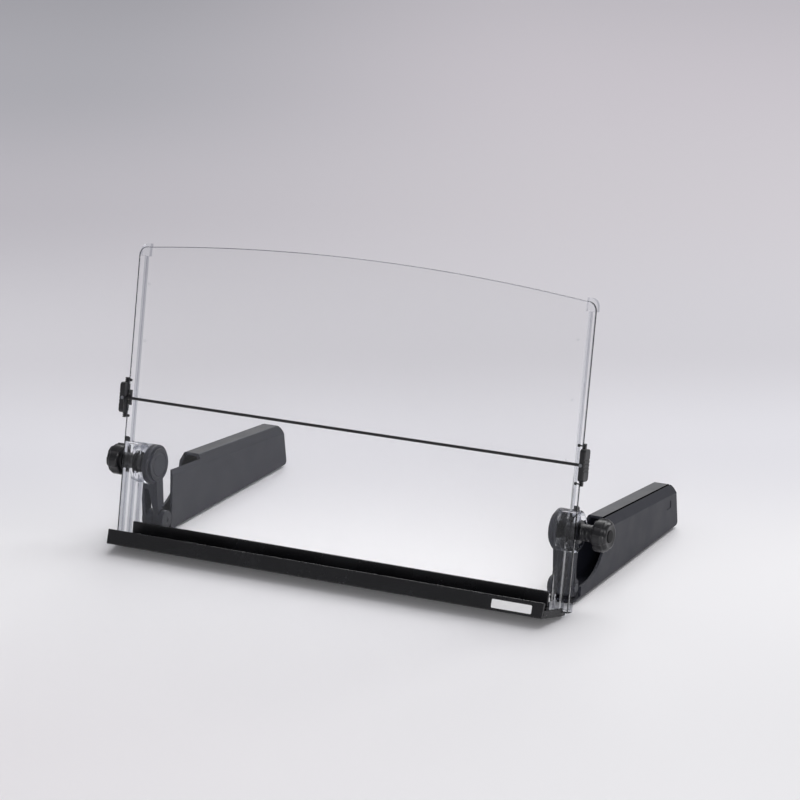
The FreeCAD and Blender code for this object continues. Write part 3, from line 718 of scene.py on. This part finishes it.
@dataclass
class ClearPanel:
    """The clear sheet, its two rails, the clips and the small studs."""

    plane: PanelPlane
    arch_rise_mm: float = 12.5
    arch_steps: int = 72
    corner_radius_mm: float = 8.0
    corner_segments: int = 8
    face_gap_mm: float = 0.03
    polish_mm: float = 0.7
    rail_edge_mm: float = 0.4
    clip_edge_mm: float = 0.25
    stud_edge_mm: float = 0.3
    stop_edge_mm: float = 0.3
    body: str = "panel"

    def arch_top(self, shape: bmesh.types.BMesh, half: float, middle: float) -> None:
        """Raise the sheet's top edge to an arch and round its two corners.

        Args:
            shape: The sheet before it has thickness, changed in place.
            half: Half the sheet's width.
            middle: The height of the sheet's middle.
        """
        chord = half - mm(self.corner_radius_mm)
        tops = [vertex for vertex in shape.verts if vertex.co.z > middle]
        for vertex in tops:
            reach = min(abs(vertex.co.x) / chord, 1.0)
            vertex.co.z += mm(self.arch_rise_mm) * (1 - reach * reach)
        corners = [vertex for vertex in tops if abs(vertex.co.x) > half - WELD_DISTANCE]
        near_corner = [vertex for vertex in tops if chord < abs(vertex.co.x) < half - WELD_DISTANCE]
        bmesh.ops.dissolve_verts(shape, verts=near_corner)
        bmesh.ops.bevel(shape, geom=[vertex for vertex in corners if vertex.is_valid],
                        offset=mm(self.corner_radius_mm), offset_type="OFFSET",
                        segments=self.corner_segments, profile=ROUND_PROFILE, affect="VERTICES",
                        material=-1)

    def sheet(self) -> None:
        """Build the sheet: a grid with its top edge arched, given thickness and polished edges."""
        low, high = self.plane.box("clear_panel")
        shoulder = high.z - mm(self.arch_rise_mm)
        gap = mm(self.face_gap_mm)
        shape = bmesh.new()
        bmesh.ops.create_grid(shape, x_segments=self.arch_steps, y_segments=1, size=1.0)
        upright = Matrix.Rotation(math.pi / 2, 4, "X")
        middle = Vector((0.0, low.y + gap, (low.z + shoulder) / 2))
        stretch = Matrix.Diagonal((high.x, 1.0, (shoulder - low.z) / 2, 1.0))
        put(shape, Matrix.Translation(middle) @ stretch @ upright)
        self.arch_top(shape, high.x, middle.z)
        thickness = high.y - low.y - 2 * gap
        pushed = bmesh.ops.extrude_face_region(shape, geom=shape.faces[:])["geom"]
        moved = [item for item in pushed if isinstance(item, bmesh.types.BMVert)]
        bmesh.ops.translate(shape, vec=(0.0, thickness, 0.0), verts=moved)
        bmesh.ops.recalc_face_normals(shape, faces=shape.faces)
        ease_edges(shape, mm(self.polish_mm), angle=SQUARE_ANGLE)
        put(shape, self.plane.place)
        piece = mount(finished("panel_sheet", shape), self.body, SHEET_ACRYLIC, "clear_panel")
        # The sheet's edges take the greyer copy of its acrylic, which is painted shade.
        dress_edges(piece, self.plane.through, SHEET_EDGE_PAINTED_SHADE, POLISH_SHARE)

    def build(self) -> None:
        """Build every piece of the panel."""
        self.sheet()
        for side in Side:
            rail = mount_eased(side.node("side_rail"), self.body, RAIL_ACRYLIC, self.rail_edge_mm)
            # The rails' narrow sides take the greyer copy of their acrylic, which is painted shade.
            dress_edges(rail, self.plane.through, RAIL_EDGE_PAINTED_SHADE)
        mount_eased("sheet_clips", self.body, RAIL_ACRYLIC, self.clip_edge_mm)
        mount_eased("guide_studs", self.body, RAIL_ACRYLIC, self.stud_edge_mm, SOFT_SEGMENTS)
        mount_eased("guide_stops", self.body, GRIP_ABS, self.stop_edge_mm)


@dataclass
class DocumentTray:
    """The black tray and its blank label."""

    edge_mm: float = 0.5
    label_corner_mm: float = 1.1
    label_corner_segments: int = 5
    body: str = "panel"

    def label(self) -> None:
        """Build the label: a thin plate with rounded corners."""
        shape = packed_shape("blank_label")
        thickness = min(edge.calc_length() for edge in shape.edges)
        corners = [edge for edge in shape.edges if edge.calc_length() < 2 * thickness]
        bmesh.ops.bevel(shape, geom=corners, offset=mm(self.label_corner_mm), offset_type="OFFSET",
                        segments=self.label_corner_segments, profile=ROUND_PROFILE, affect="EDGES",
                        material=-1)
        mount(finished("tray_label", shape), self.body, LABEL_VINYL, "blank_label")

    def build(self) -> None:
        """Build the tray and its label."""
        mount_eased("document_tray", self.body, TRAY_ABS, self.edge_mm, SOFT_SEGMENTS)
        self.label()


@dataclass
class LineGuide:
    """The rod between its sliders, and the rollers that run over the sheet's edges."""

    plane: PanelPlane
    rod_segments: int = 32
    rod_chamfer_mm: float = 0.3
    roller_radius_mm: float = 1.3
    roller_length_mm: float = 2.2
    axle_radius_mm: float = 0.6
    roller_steps: int = 28
    roller_edge_share: float = 1 / 3
    slider_edge_mm: float = 0.3
    body: str = "guide"

    def rod(self) -> None:
        """Build the rod: a long round bar with chamfered ends."""
        low, high = self.plane.box("guide_rod")
        shape = bmesh.new()
        radius = (high.z - low.z) / 2
        bmesh.ops.create_cone(shape, cap_ends=True, segments=self.rod_segments, radius1=radius,
                              radius2=radius, depth=high.x - low.x)
        ease_edges(shape, mm(self.rod_chamfer_mm), angle=SQUARE_ANGLE)
        along = Matrix.Rotation(math.pi / 2, 4, "Y")
        put(shape, self.plane.place @ Matrix.Translation((low + high) / 2) @ along)
        mount(finished("guide_rod_bar", shape), self.body, ROD_COAT, "guide_rod")

    def rollers(self) -> None:
        """Build four rollers on thin axles, where the sliders reach in over the sheet."""
        points = self.plane.points("slider_pins")
        low, high = self.plane.box("slider_pins")
        inner = min(abs(point.x) for point in points)
        pin_radius = (high.y - low.y) / 2
        axis_depth = (high.y + low.y) / 2
        reach = high.x - inner
        roller = mm(self.roller_radius_mm)
        length = mm(self.roller_length_mm)
        axle = mm(self.axle_radius_mm)
        profile = [(0.0, 0.0), (0.0, roller), (length, roller), (length, axle), (reach, axle),
                   (reach, 0.0)]
        shape = bmesh.new()
        for side in Side:
            for height in (low.z + pin_radius, high.z - pin_radius):
                one = spun(profile, self.roller_steps)
                ease_edges(one, roller * self.roller_edge_share, angle=SQUARE_ANGLE)
                start = Matrix.Translation((side.outward * inner, axis_depth, height))
                put(one, self.plane.place @ start @ side.turned_out)
                part = bpy.data.meshes.new("roller_part")
                one.to_mesh(part)
                one.free()
                shape.from_mesh(part)
                bpy.data.meshes.remove(part)
        mount(finished("guide_rollers", shape), self.body, GRIP_ABS, "slider_pins")

    def build(self) -> None:
        """Build the rod, the sliders and what holds them together."""
        self.rod()
        self.rollers()
        for side in Side:
            mount_eased(side.node("slider"), self.body, GRIP_ABS, self.slider_edge_mm)
        dress_packed("rod_screws", ZINC_STEEL)


@dataclass
class Knob:
    """A clamp knob: a neck with a flange, six soft lobes and a dished end with a cap."""

    side: Side
    hub: Vector
    neck_radius_mm: float = 7.4
    neck_groove_mm: float = 0.5
    neck_groove_shares: tuple[float, float] = (0.4, 0.7)
    flange_radius_mm: float = 9.6
    flange_thickness_mm: float = 2.2
    grip_length_mm: float = 9.6
    rim_mm: float = 1.2
    dome_height_mm: float = 3.4
    dome_radius_mm: float = 9.5
    dish_radius_mm: float = 7.8
    dish_depth_mm: float = 0.7
    cap_clearance_mm: float = 0.12
    lobes: int = 6
    scallop_radius_mm: float = 6.0
    scallop_depth_mm: float = 1.9
    steps: int = 144
    dome_steps: int = 7
    edge_mm: float = 0.35
    cap_edge_mm: float = 0.5

    @property
    def body(self) -> str:
        """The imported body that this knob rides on."""
        return self.side.node("knob")

    def lobed(self, angle: float, radius: float) -> float:
        """Work the lobed outline out.

        Args:
            angle: An angle round the knob's axis.
            radius: The grip's radius over its lobes.

        Returns:
            The share of the full radius that the outline has at that angle.
        """
        pitch = 2 * math.pi / self.lobes
        offset = (angle % pitch) - pitch / 2
        centre = radius + mm(self.scallop_radius_mm) - mm(self.scallop_depth_mm)
        across = centre * math.sin(offset)
        room = mm(self.scallop_radius_mm) ** 2 - across ** 2
        if room <= 0:
            return 1.0
        return min(1.0, (centre * math.cos(offset) - math.sqrt(room)) / radius)

    def profile(
        self,
        length: float,
        radius: float,
        cap_radius: float,
        cap_depth: float,
    ) -> list[tuple[float, float]]:
        """Return the knob's profile from its neck's end to the cap's seat.

        Args:
            length: The knob's whole length.
            radius: The grip's radius over its lobes.
            cap_radius: The cap's radius.
            cap_depth: How deep the cap sits from the knob's end.

        Returns:
            Points as (along X, radius).
        """
        neck = mm(self.neck_radius_mm)
        flange = mm(self.flange_radius_mm)
        grip_end = length - mm(self.dome_height_mm)
        grip_start = grip_end - mm(self.grip_length_mm)
        flange_start = grip_start - mm(self.flange_thickness_mm)
        groove = mm(self.neck_groove_mm)
        rim = mm(self.rim_mm)
        dome = mm(self.dome_radius_mm)
        points = [(0.0, 0.0), (0.0, neck)]
        for share in self.neck_groove_shares:
            middle = flange_start * share
            points += [(middle - groove, neck), (middle - groove / 2, neck - groove),
                       (middle + groove / 2, neck - groove), (middle + groove, neck)]
        points += [(flange_start, neck), (flange_start, flange), (grip_start, flange),
                   (grip_start, radius - rim), (grip_start + rim, radius), (grip_end - rim, radius)]
        for step in range(self.dome_steps + 1):
            angle = math.pi / 2 * step / self.dome_steps
            points.append((grip_end + mm(self.dome_height_mm) * math.sin(angle),
                           dome + (radius - rim - dome) * math.cos(angle)))
        seat = cap_radius + mm(self.cap_clearance_mm)
        dish = length - mm(self.dish_depth_mm)
        under_cap = length - cap_depth
        points += [(dish, mm(self.dish_radius_mm)), (dish, seat), (under_cap, seat),
                   (under_cap, 0.0)]
        return points

    def scallop(self, shape: bmesh.types.BMesh, radius: float) -> None:
        """Draw the grip in between its lobes, and the less the nearer to the flange's radius.

        Args:
            shape: The spun knob, changed in place.
            radius: The grip's radius over its lobes.
        """
        waist = mm(self.flange_radius_mm)
        for vertex in shape.verts:
            out = math.hypot(vertex.co.y, vertex.co.z)
            if out > waist + WELD_DISTANCE:
                depth = 1 - self.lobed(math.atan2(vertex.co.z, vertex.co.y), radius)
                share = 1 - depth * min(1.0, (out - waist) / (radius - mm(self.rim_mm) - waist))
                vertex.co.y *= share
                vertex.co.z *= share

    def build(self) -> None:
        """Build the knob and its cap, and dress the insert inside it."""
        knob = self.side.node("knob")
        low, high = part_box(knob)
        cap_low, cap_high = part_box(self.side.node("knob_cap"))
        length = high.x - low.x
        radius = max(high.z - self.hub.z, high.y - self.hub.y)
        cap_radius = (cap_high.z - cap_low.z) / 2
        cap_depth = cap_high.x - cap_low.x
        shape = spun(self.profile(length, radius, cap_radius, cap_depth), self.steps)
        self.scallop(shape, radius)
        ease_edges(shape, mm(self.edge_mm), angle=GRIP_ANGLE)
        start = Vector((low.x if self.side is Side.RIGHT else high.x, self.hub.y, self.hub.z))
        put(shape, Matrix.Translation(start) @ self.side.turned_out)
        mount(finished(self.side.node("knob_grip"), shape), self.body, GRIP_ABS, knob)
        mount_eased(self.side.node("knob_cap"), self.body, CAP_ABS, self.cap_edge_mm, SOFT_SEGMENTS)
        dress_packed(self.side.node("knob_insert"), BRASS)


@dataclass
class Arm:
    """One arm with its hub cap."""

    side: Side
    hub: Vector
    edge_mm: float = 0.25
    cap_steps: int = 96
    cap_edge_mm: float = 0.6
    ring_radius_mm: float = 11.0
    ring_width_mm: float = 1.0
    ring_depth_mm: float = 0.5
    body: str = "arms"

    def cap(self) -> None:
        """Build the cap over the bolt's head: a soft disc with a ring sunk in its face."""
        low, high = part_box(self.side.node("hub_cap"))
        thickness = high.x - low.x
        radius = (high.z - low.z) / 2
        ring = mm(self.ring_radius_mm)
        width = mm(self.ring_width_mm)
        depth = mm(self.ring_depth_mm)
        profile = [(thickness, 0.0), (thickness, radius), (0.0, radius), (0.0, ring + width),
                   (depth, ring + width / 2), (depth, ring - width / 2), (0.0, ring - width),
                   (0.0, 0.0)]
        shape = spun(profile, self.cap_steps)
        ease_edges(shape, mm(self.cap_edge_mm), SOFT_SEGMENTS, SQUARE_ANGLE)
        inner = low.x if self.side is Side.RIGHT else high.x
        put(shape, Matrix.Translation((inner, self.hub.y, self.hub.z)) @ self.side.turned_out)
        disc = finished(self.side.node("hub_cap_disc"), shape)
        mount(disc, self.body, LEG_ABS, self.side.node("hub_cap"))

    def build(self) -> None:
        """Build the arm and its cap."""
        mount_eased(self.side.node("arm"), self.body, LEG_ABS, self.edge_mm)
        self.cap()


@dataclass
class Leg:
    """One leg: its two shells, which meet in a seam along the top."""

    side: Side
    edge_mm: float = 0.2
    packed_gap_mm: float = 0.4
    open_gap_mm: float = 1.1
    seam_slack_mm: float = 0.05
    body: str = "base"

    def open_seam(self, shape: bmesh.types.BMesh, split: float) -> None:
        """Widen the inner shell's side of the seam, and leave the shell's hollow as it is.

        Args:
            shape: The inner shell's shape, changed in place.
            split: How far from the holder's middle the shells meet.
        """
        opened = split - mm(self.open_gap_mm)
        packed = split - mm(self.packed_gap_mm)
        band = [vertex for vertex in shape.verts
                if opened < abs(vertex.co.x) < packed + WELD_DISTANCE]
        wall = [vertex.co.copy() for vertex in band if abs(vertex.co.x) > packed - WELD_DISTANCE]
        rim = [vertex for vertex in band
               if any((vertex.co - place).length < packed - opened for place in wall)]
        for vertex in rim:
            vertex.co.x = self.side.outward * opened
        bmesh.ops.remove_doubles(shape, verts=rim, dist=WELD_DISTANCE)
        rim = [vertex for vertex in rim if vertex.is_valid]
        around = list({edge for vertex in rim for edge in vertex.link_edges})
        bmesh.ops.dissolve_limit(shape, angle_limit=FLAT_ANGLE, verts=rim, edges=around)

    def shell(self, node: str, shape: bmesh.types.BMesh, nearest: float, farthest: float) -> None:
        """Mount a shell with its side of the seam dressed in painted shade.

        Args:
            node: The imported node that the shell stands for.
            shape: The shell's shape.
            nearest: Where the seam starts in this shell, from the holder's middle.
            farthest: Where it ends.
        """
        ease_edges(shape, mm(self.edge_mm))
        piece = mount(finished(node + "_eased", shape), self.body, LEG_ABS, node)
        slack = mm(self.seam_slack_mm)
        # The faces in the seam take a near-black finish, which is painted shade.
        dress_faces(piece, SEAM_PAINTED_SHADE,
                    lambda face: nearest - slack < abs(face.center.x) < farthest + slack)

    def build(self) -> None:
        """Build both shells, which meet where the inner one ends."""
        inner = self.side.node("leg_inner_shell")
        outer = self.side.node("leg_outer_shell")
        split = max(abs(corner.x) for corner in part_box(inner))
        opened = packed_shape(inner)
        self.open_seam(opened, split)
        self.shell(inner, opened, split - mm(self.open_gap_mm), split)
        self.shell(outer, packed_shape(outer), split, split + mm(self.packed_gap_mm))


@dataclass
class Hardware:
    """The washers, bolts, pins, dowels and feet, which are one node each for both sides."""

    washer_edge_mm: float = 0.2
    pin_edge_mm: float = 0.3
    foot_edge_mm: float = 0.4

    def build(self) -> None:
        """Dress the small pieces."""
        mount_eased("hub_washers", "arms", WASHER_NYLON, self.washer_edge_mm)
        dress_packed("clamp_bolts", ZINC_STEEL)
        mount_eased("toe_pins", "base", PIN_STEEL, self.pin_edge_mm)
        dress_packed("leg_dowels", WASHER_NYLON)
        mount_eased("rubber_feet", "base", FOOT_RUBBER, self.foot_edge_mm)


@dataclass(frozen=True)
class Lamp:
    """A lamp: its name and its strength, in watts or, for a far one, in watts a square metre."""

    name: str
    strength: float

    def add(self, light: bpy.types.Light, place: Matrix) -> None:
        """Give a light its strength and put it in its place.

        Args:
            light: The light, with its shape set.
            place: Where it hangs and how it is turned.
        """
        light.energy = self.strength
        holder = bpy.data.objects.new(self.name, light)
        bpy.context.scene.collection.objects.link(holder)
        holder.matrix_world = place


@dataclass(frozen=True)
class Diffuser(Lamp):
    """A wall of diffusers, which lights everything evenly from one broad direction."""

    towards: tuple[float, float, float]
    spread_deg: float

    def hang(self, hub: Vector) -> None:
        """Hang the diffusers up. They light every place alike, whichever the hub's.

        Args:
            hub: The holder's hub, not used here.
        """
        light = bpy.data.lights.new(self.name, "SUN")
        light.angle = math.radians(self.spread_deg)
        self.add(light, Vector(self.towards).to_track_quat("Z", "Y").to_matrix().to_4x4())


@dataclass(frozen=True)
class Softbox(Lamp):
    """A square softbox that faces the holder's hub."""

    place: tuple[float, float, float]
    size: float

    def hang(self, hub: Vector) -> None:
        """Hang the softbox up and turn it to the holder.

        Args:
            hub: The holder's hub.
        """
        light = bpy.data.lights.new(self.name, "AREA")
        light.shape = "SQUARE"
        light.size = self.size
        turn = (hub - Vector(self.place)).to_track_quat("-Z", "Y").to_matrix().to_4x4()
        self.add(light, Matrix.Translation(self.place) @ turn)


# Overhead and a little behind the holder: most of the light, and the soft shadow under the tray.
CEILING = Diffuser("ceiling_diffuser", strength=1.58, towards=(0.0, 0.7, 1.0), spread_deg=50.0)
# Low behind the holder: the pale tops of the legs.
BACK = Diffuser("back_diffuser", strength=0.42, towards=(-0.3, 0.85, 0.5), spread_deg=30.0)
# Behind and above the holder's right: the thin lights along the edges.
EDGE = Softbox("edge_softbox", strength=9.0, place=(0.9, 1.9, 1.5), size=0.6)
# In front and on the right of the camera: the faces that look at it.
FRONT = Softbox("front_softbox", strength=72.0, place=(2.3, -3.7, 1.1), size=1.4)


@dataclass
class Studio:
    """The paper sweep, the pale surroundings, the lamps and the camera."""

    hub: Vector
    lamps: tuple[Diffuser | Softbox, ...] = (CEILING, BACK, EDGE, FRONT)
    floor_half: float = 50.0
    floor_segments: int = 8
    lens_mm: float = 141.96
    sensor_mm: float = 36.0
    distance: float = 2.7738
    farthest: float = 120.0
    azimuth_deg: float = 27.726
    elevation_deg: float = 16.93
    roll_deg: float = -0.56
    aim_right_of_middle: float = 0.04975
    aim_above_hub: float = 0.09595
    surround: str = "#f4f4f8"
    surround_strength: float = 0.31

    def floor(self) -> None:
        """Lay the paper."""
        shape = bmesh.new()
        bmesh.ops.create_grid(shape, x_segments=self.floor_segments, y_segments=self.floor_segments,
                              size=self.floor_half)
        paper = finished("paper_sweep", shape)
        paper.data.materials.append(PAPER_PAINTED_LIGHT.material())

    def surroundings(self) -> None:
        """Give the world a pale, even tone."""
        world = bpy.data.worlds.new("pale_room")
        world.use_nodes = True
        world.node_tree.nodes.clear()
        light = add_node(world.node_tree, "ShaderNodeBackground",
                         {"Color": linear(self.surround), "Strength": self.surround_strength})
        output = add_node(world.node_tree, "ShaderNodeOutputWorld")
        world.node_tree.links.new(light.outputs["Background"], output.inputs["Surface"])
        bpy.context.scene.world = world

    def camera(self) -> None:
        """Stand the camera where the photograph was taken from."""
        azimuth = math.radians(self.azimuth_deg)
        elevation = math.radians(self.elevation_deg)
        roll = math.radians(self.roll_deg)
        back = Vector((math.sin(azimuth) * math.cos(elevation),
                       -math.cos(azimuth) * math.cos(elevation), math.sin(elevation)))
        level = Vector((math.cos(azimuth), math.sin(azimuth), 0.0))
        upright = back.cross(level)
        right = math.cos(roll) * level + math.sin(roll) * upright
        up = math.cos(roll) * upright - math.sin(roll) * level
        aim = Vector((self.aim_right_of_middle, self.hub.y, self.hub.z + self.aim_above_hub))
        lens = bpy.data.cameras.new("photo_camera")
        lens.lens = self.lens_mm
        lens.sensor_width = self.sensor_mm
        lens.clip_end = self.farthest
        camera = bpy.data.objects.new("photo_camera", lens)
        turn = Matrix((right, up, back)).transposed().to_4x4()
        camera.matrix_world = Matrix.Translation(aim + back * self.distance) @ turn
        bpy.context.scene.collection.objects.link(camera)
        bpy.context.scene.camera = camera

    def build(self) -> None:
        """Set the whole studio up."""
        self.floor()
        self.surroundings()
        for lamp in self.lamps:
            lamp.hang(self.hub)
        self.camera()
        bpy.context.scene.view_settings.view_transform = "Standard"


def main() -> None:
    """Build every sub-assembly in order, from the panel down to the feet."""
    logging.basicConfig(level=logging.INFO, format="%(name)s: %(message)s")
    plane = PanelPlane.from_record()
    assemblies = [ClearPanel(plane), DocumentTray(), LineGuide(plane)]
    for side in Side:
        assemblies += [Knob(side, plane.hub), Arm(side, plane.hub), Leg(side)]
    assemblies += [Hardware(), Studio(plane.hub)]
    for assembly in assemblies:
        assembly.build()
        log.info("%s done", type(assembly).__name__)


if __name__ == "__main__":
    main()
